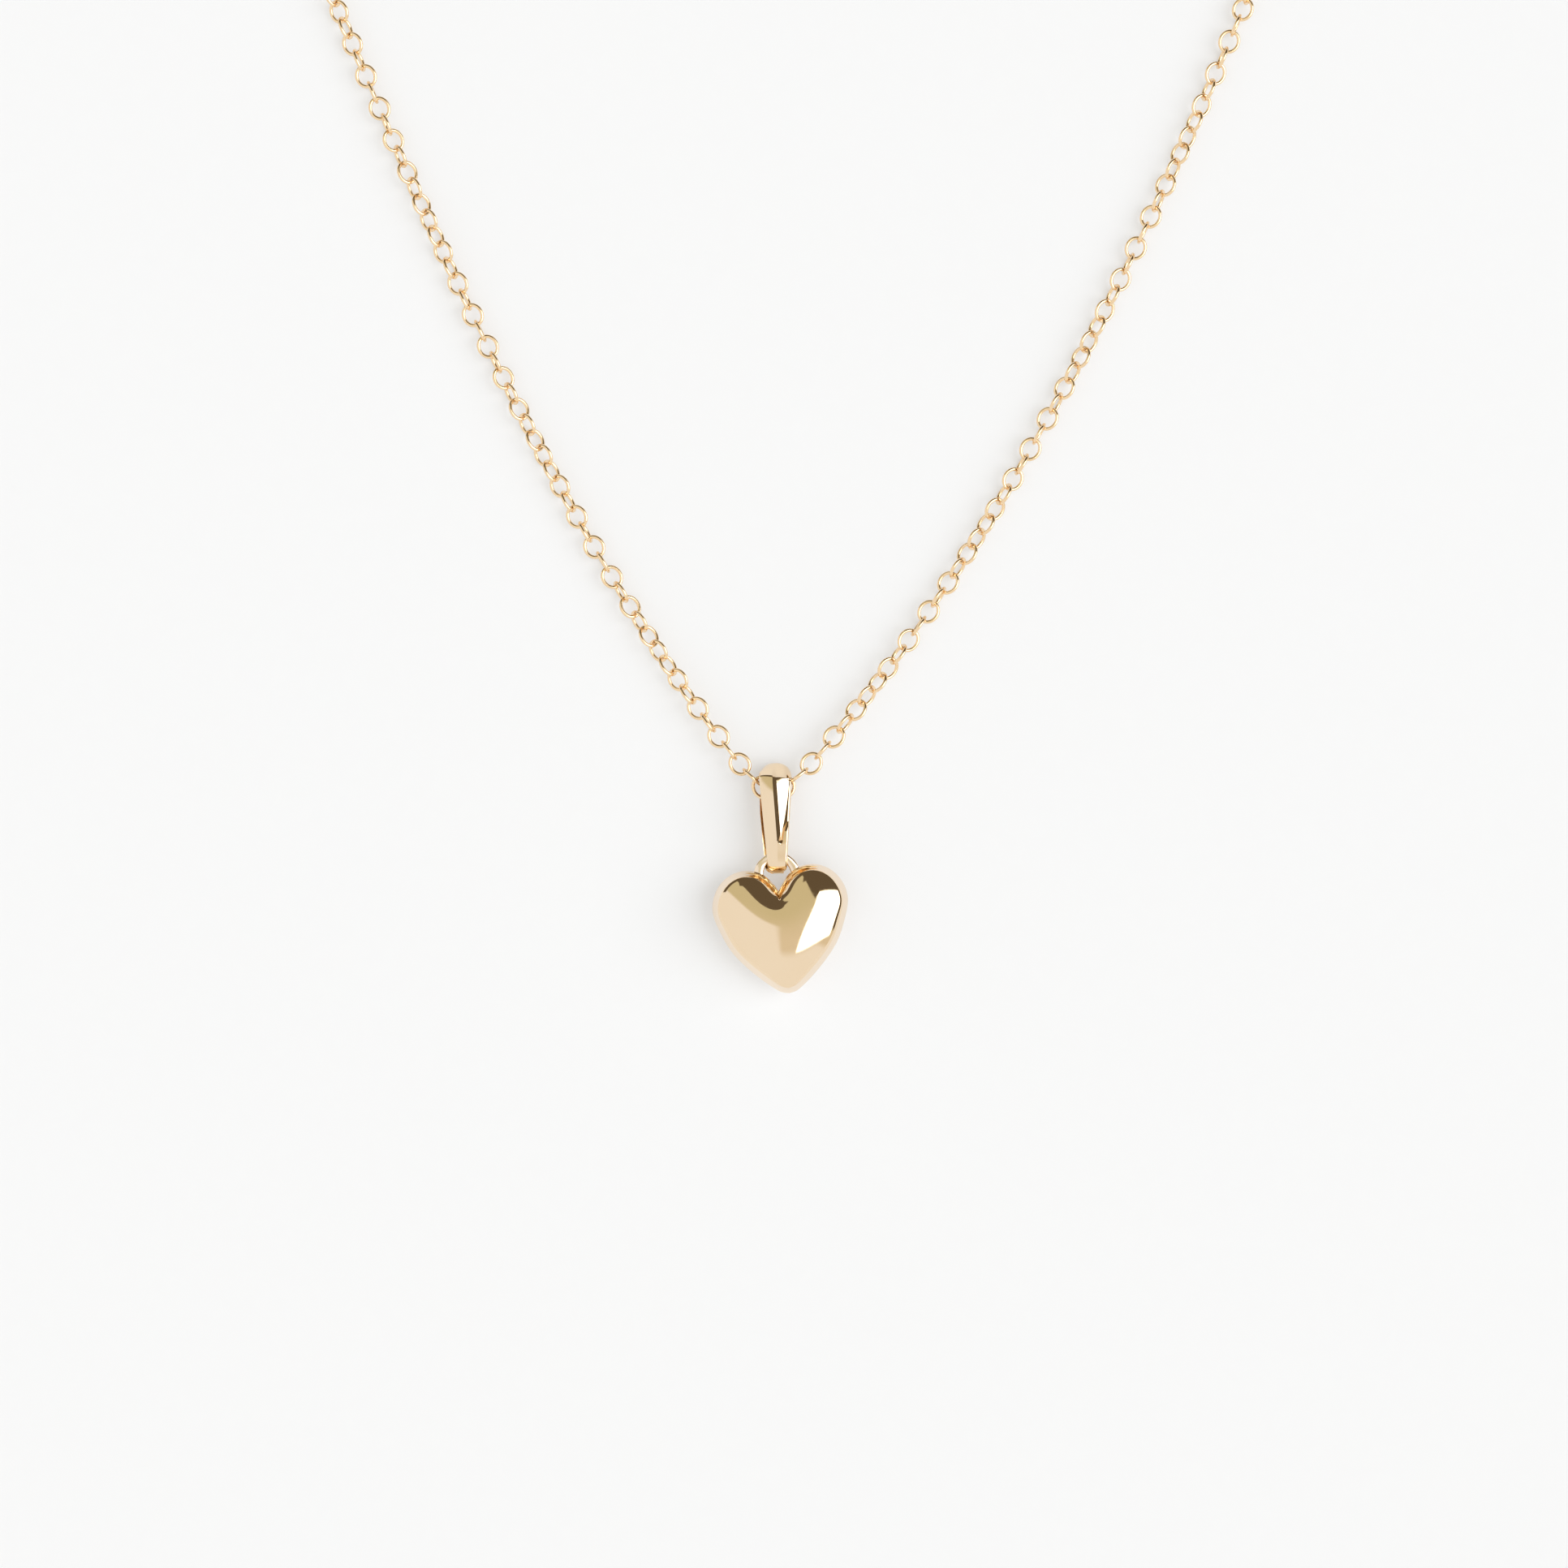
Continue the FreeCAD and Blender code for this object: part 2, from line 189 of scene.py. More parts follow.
def node(tree, kind, **values):
    n = tree.nodes.new(kind)
    for key, value in values.items():
        if key in n.inputs:
            n.inputs[key].default_value = value
        else:
            setattr(n, key, value)
    return n


# Noise on the metal, in repeats per metre: wear in the gloss, patches of tint, fine waviness.
WEAR_SCALE = 2600.0
PATCH_SCALE = 420.0
FINE_SCALE = 5200.0
WEAR_FROM = 0.35
WEAR_TO = 0.75
WEAR_ROUGHER = 0.07
WAVE_DEEP = 0.000002


def gold(name, colour, tint, rough, mark):
    """Polished gold: fine wear in the roughness, a faint tint change and a faint waviness."""
    mat = bpy.data.materials.new(name)
    mat.use_nodes = True
    tree = mat.node_tree
    link = tree.links.new
    bsdf = tree.nodes["Principled BSDF"]
    bsdf.inputs["Metallic"].default_value = 1.0
    where = node(tree, "ShaderNodeTexCoord")
    wear = node(tree, "ShaderNodeTexNoise", Scale=WEAR_SCALE, Detail=5.0, Roughness=0.6)
    link(where.outputs["Object"], wear.inputs["Vector"])
    to_rough = node(tree, "ShaderNodeMapRange")
    to_rough.inputs["From Min"].default_value = WEAR_FROM
    to_rough.inputs["From Max"].default_value = WEAR_TO
    to_rough.inputs["To Min"].default_value = rough
    to_rough.inputs["To Max"].default_value = rough + WEAR_ROUGHER
    link(wear.outputs["Fac"], to_rough.inputs["Value"])
    link(to_rough.outputs["Result"], bsdf.inputs["Roughness"])
    patch = node(tree, "ShaderNodeTexNoise", Scale=PATCH_SCALE, Detail=2.0)
    link(where.outputs["Object"], patch.inputs["Vector"])
    mix = node(tree, "ShaderNodeMix", data_type="RGBA")
    mix.inputs["A"].default_value = (*colour, 1.0)
    mix.inputs["B"].default_value = (*tint, 1.0)
    link(patch.outputs["Fac"], mix.inputs["Factor"])
    link(mix.outputs["Result"], bsdf.inputs["Base Color"])
    fine = node(tree, "ShaderNodeTexNoise", Scale=FINE_SCALE, Detail=3.0)
    link(where.outputs["Object"], fine.inputs["Vector"])
    bump = node(tree, "ShaderNodeBump", Strength=mark, Distance=WAVE_DEEP)
    link(fine.outputs["Fac"], bump.inputs["Height"])
    link(bump.outputs["Normal"], bsdf.inputs["Normal"])
    return mat


GOLD = (0.905, 0.73, 0.525)
GOLD_DEEP = (0.885, 0.70, 0.48)
M_HEART = gold("heart_gold", GOLD, GOLD_DEEP, 0.025, 0.10)
M_BAIL = gold("bail_gold", GOLD, GOLD_DEEP, 0.03, 0.12)
M_CHAIN = gold("chain_gold", (0.935, 0.72, 0.47), (0.91, 0.68, 0.42), 0.13, 0.03)
M_CLASP = gold("clasp_gold", GOLD, GOLD_DEEP, 0.05, 0.15)
# Paler cream gold for the heart's bevelled sides: a painted reflection of the pale floor and walls,
# not a different metal.
M_RIM_PAINTED_REFLECTION = gold("rim_gold_painted_reflection", (0.92, 0.79, 0.65), (0.90, 0.75, 0.58), 0.06, 0.12)
# Solder: a rougher gold, whose deeper orange is a painted reflection of the gold around the notch.
M_SOLDER_PAINTED_REFLECTION = gold("solder_gold", (0.97, 0.72, 0.38), (0.94, 0.63, 0.28), 0.30, 0.3)
# Deeper orange gold for the bail's underside and back: a painted reflection of the gold around them,
# not a different metal.
M_BAIL_BACK_PAINTED_REFLECTION = gold("bail_back_gold_painted_reflection", (0.95, 0.72, 0.43), (0.93, 0.66, 0.35), 0.13, 0.2)
# Paler gold for the loop over the notch: a painted highlight; its roughness is real.
M_LOOP_PAINTED_HIGHLIGHT = gold("loop_gold_painted_highlight", (0.93, 0.80, 0.66), (0.91, 0.74, 0.55), 0.12, 0.3)
M_STEEL = gold("spring_steel", (0.62, 0.62, 0.63), (0.50, 0.50, 0.52), 0.18, 0.3)


# ---------------------------------------------------------------- mesh helpers

def add_mesh(name, points, faces, material, body, smooth=True):
    """A mesh from points in millimetres in the necklace's frame."""
    mesh = bpy.data.meshes.new(name)
    mesh.from_pydata([tuple(p) for p in np.asarray(points, float) * MM], [], faces)
    mesh.polygons.foreach_set("use_smooth", [smooth] * len(mesh.polygons))
    mesh.materials.append(material)
    mesh.update()
    made = bpy.data.objects.new(name, mesh)
    bpy.context.scene.collection.objects.link(made)
    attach(made, body)
    return made


def grid_faces(rows, columns, wrap_rows, wrap_columns, start=0):
    """Quads over a grid of points stored row by row."""
    faces = []
    for i in range(rows if wrap_rows else rows - 1):
        for j in range(columns if wrap_columns else columns - 1):
            a = start + i * columns + j
            b = start + i * columns + (j + 1) % columns
            c = start + (i + 1) % rows * columns + (j + 1) % columns
            d = start + (i + 1) % rows * columns + j
            faces.append((a, b, c, d))
    return faces


def turned(points, degrees, about=(0.0, 0.0)):
    """Points turned about the vertical line through `about`."""
    a = math.radians(degrees)
    p = np.array(points, float)
    x, y = p[:, 0] - about[0], p[:, 1] - about[1]
    p[:, 0] = about[0] + x * math.cos(a) - y * math.sin(a)
    p[:, 1] = about[1] + x * math.sin(a) + y * math.cos(a)
    return p


SPLINE_FINE = 2000


def spline(points, count):
    """`count` evenly spaced points on a natural cubic spline through `points`."""
    p = np.array(points, float)
    t = np.concatenate([[0], np.cumsum(np.linalg.norm(np.diff(p, axis=0), axis=1))])
    n = len(t)
    h = np.diff(t)
    a = np.zeros((n, n))
    r = np.zeros((n, p.shape[1]))
    a[0, 0] = a[-1, -1] = 1
    for i in range(1, n - 1):
        a[i, i - 1:i + 2] = h[i - 1], 2 * (h[i - 1] + h[i]), h[i]
        r[i] = 6 * ((p[i + 1] - p[i]) / h[i] - (p[i] - p[i - 1]) / h[i - 1])
    m = np.linalg.solve(a, r)

    def at(s):
        i = np.clip(np.searchsorted(t, s) - 1, 0, n - 2)
        u, v = (t[i + 1] - s)[:, None], (s - t[i])[:, None]
        hi = h[i][:, None]
        return ((m[i] * u ** 3 + m[i + 1] * v ** 3) / (6 * hi)
                + (p[i] / hi - m[i] * hi / 6) * u + (p[i + 1] / hi - m[i + 1] * hi / 6) * v)

    fine = at(np.linspace(0, t[-1], SPLINE_FINE))
    length = np.concatenate([[0], np.cumsum(np.linalg.norm(np.diff(fine, axis=0), axis=1))])
    want = np.linspace(0, length[-1], count)
    return np.stack([np.interp(want, length, fine[:, k]) for k in range(p.shape[1])], axis=1)


# ---------------------------------------------------------------- chain

WELD_PER_METRE = 1e7


def islands(obj):
    """The separate solids in a CAD node, as arrays of points in millimetres."""
    mesh = obj.data
    co = np.zeros(len(mesh.vertices) * 3)
    mesh.vertices.foreach_get("co", co)
    co = co.reshape(-1, 3)
    places = np.round(co * WELD_PER_METRE).astype(np.int64)
    _, same = np.unique(places, axis=0, return_inverse=True)
    same = same.ravel()
    parent = list(range(same.max() + 1))

    def root(i):
        while parent[i] != i:
            parent[i] = parent[parent[i]]
            i = parent[i]
        return i

    for face in mesh.polygons:
        first = root(same[face.vertices[0]])
        for v in face.vertices[1:]:
            parent[root(same[v])] = first
    welded = np.zeros((same.max() + 1, 3))
    welded[same] = co
    groups = {}
    for i in range(len(welded)):
        groups.setdefault(root(i), []).append(i)
    return [welded[g] / MM for g in groups.values()]


def link_frame(points):
    """Centre and axes of one oval link: long way, wide way, through its face."""
    middle = (points.min(0) + points.max(0)) / 2
    centre = points.mean(0)
    _, vectors = np.linalg.eigh(np.cov((points - centre).T))
    through, wide, long_way = vectors[:, 0], vectors[:, 1], vectors[:, 2]
    spread = [np.ptp((points - middle) @ v) for v in (wide, long_way)]
    if spread[0] > spread[1]:
        wide, long_way = long_way, wide
    wide = np.cross(through, long_way)
    return centre, long_way, wide, through


def oval_rod(count=56, round_count=16):
    """One link's surface about its own centre, long way along X, face up."""
    long_half, wide_half = LINK_LONG / 2 - WIRE_R, LINK_WIDE / 2 - WIRE_R
    points = []
    for i in range(count):
        a = 2 * math.pi * i / count
        middle = np.array((long_half * math.cos(a), wide_half * math.sin(a), 0.0))
        out = np.array((wide_half * math.cos(a), long_half * math.sin(a), 0.0))
        out /= np.linalg.norm(out)
        for j in range(round_count):
            b = 2 * math.pi * j / round_count
            points.append(middle + out * WIRE_R * math.cos(b) + np.array((0, 0, WIRE_R * math.sin(b))))
    return np.array(points), grid_faces(count, round_count, True, True)


def build_chain():
    shape, faces = oval_rod()
    for name, obj in frame["nodes"].items():
        if not name.startswith("chain_"):
            continue
        points, quads = [], []
        for island in sorted(islands(obj), key=lambda found: found[:, 0].mean()):
            centre, long_way, wide, through = link_frame(island)
            quads += [tuple(v + len(points) * len(shape) for v in f) for f in faces]
            points.append(centre + shape @ np.array((long_way, wide, through)))
        if name == "chain_in_bail":
            points[-1][:, 0] -= INNER_LINK_IN
        body = obj["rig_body"]
        made = add_mesh(name + "_links", np.concatenate(points), quads, M_CHAIN, body)
        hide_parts(name)


# ---------------------------------------------------------------- bail

def bail_half_width(y):
    """Half the strip's width at each height."""
    half = np.interp(y, (BAIL_LOW_AT, BAIL_WIDE_AT), (BAIL_HALF_LOW, BAIL_HALF_TOP))
    past = min(BAIL_FOOT_END, max(0.0, BAIL_LOW_AT - y) / BAIL_FOOT_ROUND)
    return float(half) * (1 - past ** 3) ** (1 / 3)


def blend(a, b, share):
    return a + (b - a) * min(1.0, max(0.0, share))


def step_closed(y):
    """Up to 0 where the step is open, 1 or more below it."""
    return (STEP_END_Y - y) / STEP_END_LONG


def plate_in(y):
    """Up to 0 above the plate, 1 or more where it has come across to the step."""
    return (PLATE_Y - y) / PLATE_LONG


def bail_front(y):
    """Half width and the creases across the front at height y, from the left edge to the right:
    edge, ridge, step's top, step's foot, roll's end, plate, plate's end, edge."""
    half = bail_half_width(y)
    down = min(1.0, max(0.0, -y / RIDGE_DOWN_TO))
    ridge = RIDGE_TOP_X * (1 - down)
    right = half - RIGHT_EDGE
    foot = ridge + STEP_WIDE
    cut = blend(ridge + TOUCH, foot - CREASE, step_closed(y))
    left = blend(right, foot + 2 * CREASE, plate_in(y))
    roll = min(left - CREASE, blend(right - ROLL_TOP_IN, foot + CREASE, down ** 2))
    return half, (-half, ridge, cut, foot, roll, left, right, half)


def bail_samples(y):
    """Points across the strip, with one on every crease of the front."""
    half, stops = bail_front(y)
    return np.concatenate([np.linspace(a, b, n, endpoint=False)
                           for a, b, n in zip(stops, stops[1:], BAIL_CUTS)] + [[half]])


def bail_front_drop(x, y):
    """How far the front falls from its ridge: left facet, step, rolled facet, plate."""
    half, (_, ridge, cut, foot, roll, left, right, _) = bail_front(y)
    outer, inner = EDGE_BEVELS
    knots = (-half, -half + outer, -half + inner, ridge, ridge + THIN, cut, cut + THIN, foot,
             foot + THIN, roll, left, left + THIN, right, half)
    step_tilts = tuple(blend(t, CLOSED_TILT, blend(0.0, 1.0, step_closed(y))) for t in STEP_TILTS)
    middles = (x[1:] + x[:-1]) / 2
    tilts = np.interp(middles, knots, EDGE_TILTS + step_tilts + PLATE_TILTS)
    drop = np.concatenate([[0.0], np.cumsum(np.tan(np.radians(tilts)) * np.diff(x))])
    plate = x > left + THIN / 2
    level = drop.min() + (left - ridge) * math.tan(math.radians(CLOSED_TILT))
    drop[plate] -= min(1.0, max(0.0, plate_in(y))) * (drop[plate][0] - level)
    drop -= drop.min()
    sink = np.clip(y - SINK_Y, 0, 2) * np.clip((x + half) / (half + ridge), 0, 1)
    return drop + SINK_DEEP * sink ** 2


def bail_section(y, z, normal, x, half):
    """Drop of the strip's face below its middle line, by which way the strip faces."""
    u = np.clip(np.abs(x) / half, 0.0, 1.0)
    arch = half * (1 - (1 - u ** BAIL_ARCH) ** (1 / BAIL_ARCH))
    plain = BAIL_EDGE_SAG * u ** 4
    if normal[1] < 0:
        return plain * min(1.0, -normal[1] / BEHIND_FACING) + arch * max(0.0, normal[0])
    if normal[0] > 0:
        up = min(1.0, max(0.0, (z - FOOT_ROLL_Z) / FOOT_ROLL_HIGH))
        up = up * up * (3 - 2 * up)
        return bail_front_drop(x, y) * up + arch * (1 - up)
    up = min(1.0, max(0.0, (normal[1] - TOP_ROLL_FACING) / TOP_ROLL_LONG))
    return bail_front_drop(x, y) * up + plain * (1 - up)


def build_bail():
    loop = spline(BAIL_SIDE + BAIL_SIDE[:1], BAIL_LOOP_POINTS + 1)[:-1]
    ahead = np.roll(loop, -1, axis=0) - np.roll(loop, 1, axis=0)
    ahead /= np.linalg.norm(ahead, axis=1)[:, None]
    normals = np.column_stack([-ahead[:, 1], ahead[:, 0]])
    middle = loop.mean(0)
    if ((loop - middle) * normals).sum() < 0:
        normals = -normals
    across = sum(BAIL_CUTS) + 1
    points = []
    for (y, z), normal in zip(loop, normals):
        behind = min(1.0, max(0.0, -normal[1] * 2))
        narrower = BAIL_BACK_NARROWER * behind * min(1.0, max(0.0, y + 1.0))
        half = bail_half_width(y) * (1 - narrower)
        x = bail_samples(y)
        x *= half / x[-1]
        drop = bail_section(y, z, normal, x, half)
        shift = -BAIL_SKEW * behind * min(1.0, max(0.0, -y / 2))
        for k, wall in ((1, 0.0), (-1, BAIL_STRIP)):
            xs, ds = x[::k], drop[::k] + wall
            points += list(zip(xs + shift, y - normal[0] * ds, z - normal[1] * ds))
    points = turned(np.array(points), BAIL_LEAN, (0.0, BAIL_PIVOT_Y))
    points[:, 0] += BAIL_X
    faces = grid_faces(len(loop), 2 * across, True, True)
    made = add_mesh("bail_strip", points + ORIGIN, faces, M_BAIL, "bail")
    made.data.set_sharp_from_angle(angle=math.radians(BAIL_SHARP_DEGREES))
    # The underside and back faces get the deeper orange gold, a painted reflection.
    made.data.materials.append(M_BAIL_BACK_PAINTED_REFLECTION)
    for face in made.data.polygons:
        y, z = loop[face.index // (2 * across)]
        face.material_index = int(y < PAINTED_BACK_Y or (z < PAINTED_BACK_Z and y < PAINTED_BACK_BEND_Y))
    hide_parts("bail")


# ---------------------------------------------------------------- heart

def closed_outline(points, count):
    """Both halves of a heart outline, clockwise from the notch, 2 * count points."""
    right = spline(points, count + 1)
    left = right[::-1] * np.array((-1, 1))
    return np.concatenate([right[:-1], left[:-1]])


def shrinking_rings(outline, rings):
    """Rings from the outline to its middle, each rounder than the last."""
    centre = np.array(DOME_MIDDLE)
    local = outline - centre
    waves = np.fft.fft(local[:, 0] + 1j * local[:, 1])
    number = np.abs(np.fft.fftfreq(len(outline), 1 / len(outline)))
    made = []
    for v in np.arange(rings) / rings:
        ring = np.fft.ifft(waves * np.exp(-v * (number / RING_ROUNDING) ** 2)) * (1 - v)
        made.append(np.column_stack([ring.real, ring.imag]) + centre)
    return made


FILM_STEPS = 1500
FILM_CLOSE = 1e-9


def inflated(points, triangles, rim):
    """A film blown up over the outline: its Laplacian is even and its rim stays at `rim`."""
    fixed = len(rim)
    count = len(points)
    corner = points[triangles]
    ends, others, weights = [], [], []
    load = np.zeros(count)
    for a in range(3):
        b, c = (a + 1) % 3, (a + 2) % 3
        one, two = corner[:, b] - corner[:, a], corner[:, c] - corner[:, a]
        area = np.abs(one[:, 0] * two[:, 1] - one[:, 1] * two[:, 0]) + 1e-12
        ends.append(triangles[:, b])
        others.append(triangles[:, c])
        weights.append((one * two).sum(1) / area / 2)
        load += np.bincount(triangles[:, a], area / 6, count)
    i, j, w = np.concatenate(ends), np.concatenate(others), np.concatenate(weights)

    def pull(u):
        flow = w * (u[i] - u[j])
        out = np.bincount(i, flow, count) - np.bincount(j, flow, count)
        out[:fixed] = 0
        return out

    scale = np.bincount(i, w, count) + np.bincount(j, w, count)
    load[:fixed] = 0
    u = np.concatenate([rim * NOTCH_LIFT, np.zeros(count - fixed)])
    rest = load - pull(u)
    step = rest / scale
    size = (rest * step).sum()
    for _ in range(FILM_STEPS):
        pulled = pull(step)
        share = size / (step * pulled).sum()
        u += share * step
        rest -= share * pulled
        if np.abs(rest).max() < FILM_CLOSE:
            break
        new = rest / scale
        new_size = (rest * new).sum()
        step = new + step * new_size / size
        size = new_size
    return u / u.max()


def lumps(points, size, seed):
    """Smooth random lumps between about -1 and 1."""
    rng = np.random.default_rng(seed)
    total = np.zeros(len(points))
    for _ in range(14):
        wave = rng.normal(size=3) / size
        total += np.sin(points @ wave + rng.uniform(0, 2 * math.pi))
    return total / 5.0


def dome_points(edge):
    """The dome over the outline `edge`: its points, quads and the fan that closes its middle."""
    rings = shrinking_rings(edge, DOME_RINGS)
    flat = np.concatenate(rings + [np.array([DOME_MIDDLE])])
    around = len(edge)
    quads = grid_faces(DOME_RINGS, around, False, True)
    hub = DOME_RINGS * around
    last = hub - around
    fan = [(last + k, last + (k + 1) % around, hub) for k in range(around)]
    triangles = [t for a, b, c, d in quads for t in ((a, b, c), (a, c, d))] + fan
    along = np.concatenate([[0], np.cumsum(np.linalg.norm(np.diff(edge, axis=0), axis=1))])
    along -= along[-1] * (along > along[-1] / 2)
    raised = np.exp(-((along - NOTCH_LIFT_AT) / NOTCH_LIFT_WIDE) ** 2)
    blown = inflated(flat, np.array(triangles), raised)
    soft = DOME_SOFT ** DOME_POWER
    height = ((blown + DOME_SOFT) ** DOME_POWER - soft) / ((1 + DOME_SOFT) ** DOME_POWER - soft)
    return np.column_stack([flat, BEVEL_Z + (HEART_HALF - BEVEL_Z) * height]), quads + fan


def side_points(seam, edge, sign):
    """The bevelled side from the seam up to the edge, a little worn by the notch."""
    rows = [np.column_stack([seam + (edge - seam) * v ** SIDE_CURVE,
                             np.full(len(seam), BEVEL_Z * v)])
            for v in np.linspace(0, 1, SIDE_ROWS + 1)[:-1]]
    side = np.concatenate(rows)
    away = np.linalg.norm((side[:, :2] - NOTCH_WEAR_AT) / NOTCH_WEAR_REACH, axis=1)
    near = np.clip(1.2 - away, 0, 1) * np.clip(side[:, 2] / 0.3, 0, 1)
    wear = np.column_stack([lumps(side, 0.12, k + sign) for k in (3, 8, 13)])
    return side + NOTCH_WEAR_DEEP * near[:, None] * wear


def heart_side(sign):
    """One shell's outer surface, bevelled side and dome, and how many of its faces are side."""
    seam = closed_outline(SEAM, HEART_AROUND // 2)
    edge = closed_outline(EDGE, HEART_AROUND // 2)
    side = side_points(seam, edge, sign)
    dome, dome_faces = dome_points(edge)
    points = np.concatenate([side, dome])
    faces = grid_faces(SIDE_ROWS + 1, HEART_AROUND, False, True)
    faces += [tuple(v + len(side) for v in f) for f in dome_faces]
    points[:, 2] *= sign
    if sign > 0:
        faces = [f[::-1] for f in faces]
    return points, faces, SIDE_ROWS * HEART_AROUND


def place_heart(points):
    return turned(points, HEART_LEAN) + np.array(HEART_AT) + ORIGIN


def build_heart():
    for sign, name in ((1, "heart_front_shell"), (-1, "heart_back_shell")):
        points, faces, side_faces = heart_side(sign)
        made = add_mesh(name + "_skin", place_heart(points), faces, M_HEART, "heart")
        # The bevelled side faces get the paler rim gold, a painted reflection.
        made.data.materials.append(M_RIM_PAINTED_REFLECTION)
        for face in made.data.polygons[:side_faces]:
            face.material_index = 1
        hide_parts(name)


def build_loop():
    """The half ring over the notch, wider where it is soldered down."""
    points = []
    steps, round_count = 60, 24
    for a in np.radians(np.linspace(-LOOP_PAST, 180 + LOOP_PAST, steps)):
        out = np.array((math.cos(a), math.sin(a), 0.0))
        wide = LOOP_BAND + LOOP_FLARE * abs(math.cos(a)) ** 3
        for b in np.linspace(0, 2 * math.pi, round_count + 1)[:-1]:
            w = wide * math.copysign(abs(math.cos(b)) ** 0.7, math.cos(b))
            h = LOOP_THICK * math.copysign(abs(math.sin(b)) ** 0.8, math.sin(b))
            centre = np.array((*LOOP_AT, -LOOP_LOW))
            points.append(centre + out * (LOOP_R + w) + np.array((0, 0, h)))
    points = np.array(points)
    points += LOOP_ROUGH * np.column_stack([lumps(points, 0.35, k) for k in (21, 25, 29)])
    faces = grid_faces(steps, round_count, False, True)
    # The band is drawn in the paler loop gold, a painted highlight.
    made = add_mesh("heart_loop_band", place_heart(points), faces, M_LOOP_PAINTED_HIGHLIGHT, "heart")
    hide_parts("heart_loop")


def build_solder():
    """Rough solder run along the notch's rim, where the loop's feet stand."""
    seam = closed_outline(SEAM, 320)
    edge = closed_outline(EDGE, 320)
    places = np.arange(-SOLDER_LEFT, SOLDER_RIGHT + 1)
    path = (seam * SOLDER_OUT + edge * (1 - SOLDER_OUT))[places]
    outward = (seam - edge)[places]
    outward /= np.linalg.norm(outward, axis=1)[:, None]
    round_count = 20
    points, sizes = [], []
    for place, at, out in zip(places, path, outward):
        end = place / (SOLDER_RIGHT if place > 0 else -SOLDER_LEFT)
        bare = math.exp(-((place - SOLDER_BARE_AT) / SOLDER_BARE_WIDE) ** 2)
        size = max(0.02, 1 - end ** 5) * (1.15 - 0.35 * end) * (1 - 0.75 * bare)
        sizes += [[min(1.0, size)]] * round_count
        for b in np.linspace(0, 2 * math.pi, round_count + 1)[:-1]:
            points.append((*(at + out * SOLDER_WIDE * size * math.cos(b)),
                           SOLDER_Z + SOLDER_HIGH * size * math.sin(b)))
    points = np.array(points)
    rough = np.column_stack([lumps(points, 0.17, k) for k in (31, 35, 39)])
    rough[:, 2] += lumps(points, 0.11, 43)
    points += SOLDER_ROUGH * rough * np.array(sizes)
    faces = grid_faces(len(path), round_count, False, True)
    # The solder's deeper orange is a painted reflection; its lumps and roughness are real.
    add_mesh("notch_solder", place_heart(points), faces, M_SOLDER_PAINTED_REFLECTION, "heart")


# ---------------------------------------------------------------- studio

def step(tree, value, low, high):
    """0 below `low`, 1 above `high`, smooth between."""
    n = node(tree, "ShaderNodeMapRange", interpolation_type="SMOOTHSTEP")
    n.inputs["From Min"].default_value = low
    n.inputs["From Max"].default_value = high
    tree.links.new(value, n.inputs["Value"])
    return n.outputs["Result"]


def maths(tree, operation, *values):
    n = node(tree, "ShaderNodeMath", operation=operation)
    for i, v in enumerate(values):
        if isinstance(v, (int, float)):
            n.inputs[i].default_value = v
        else:
            tree.links.new(v, n.inputs[i])
    return n.outputs[0]


def weighted(tree, *terms):
    """The sum of value * factor over (value, factor) pairs."""
    total = 0.0
    for value, factor in terms:
        total = maths(tree, "MULTIPLY_ADD", value, factor, total)
    return total


def every(tree, *shares):
    total = shares[0]
    for share in shares[1:]:
        total = maths(tree, "MULTIPLY", total, share)
    return total


def flip(tree, share):
    return maths(tree, "SUBTRACT", 1.0, share)


def paint(tree, base, colour, share):
    """base where share is 0, colour where share is 1."""
    n = node(tree, "ShaderNodeMix", data_type="RGBA")
    tree.links.new(share, n.inputs["Factor"])
    for socket, v in (("A", base), ("B", colour)):
        if isinstance(v, tuple):
            n.inputs[socket].default_value = (*v, 1.0)
        else:
            tree.links.new(v, n.inputs[socket])
    return n.outputs["Result"]


# The studio is painted on a sphere of directions: x is right, y is towards the clasp and z is
# up, each from -1 to 1. Colours are linear light.
PALE_WALL = (0.945, 0.94, 0.93)
CEILING_BACK = (0.66, 0.62, 0.43)
CEILING_FRONT = (0.78, 0.715, 0.58)
ROOM_DARK = (0.13, 0.10, 0.065)
SOFTBOX = (3.0, 3.0, 3.0)
BACKDROP = (0.93, 0.93, 0.93)


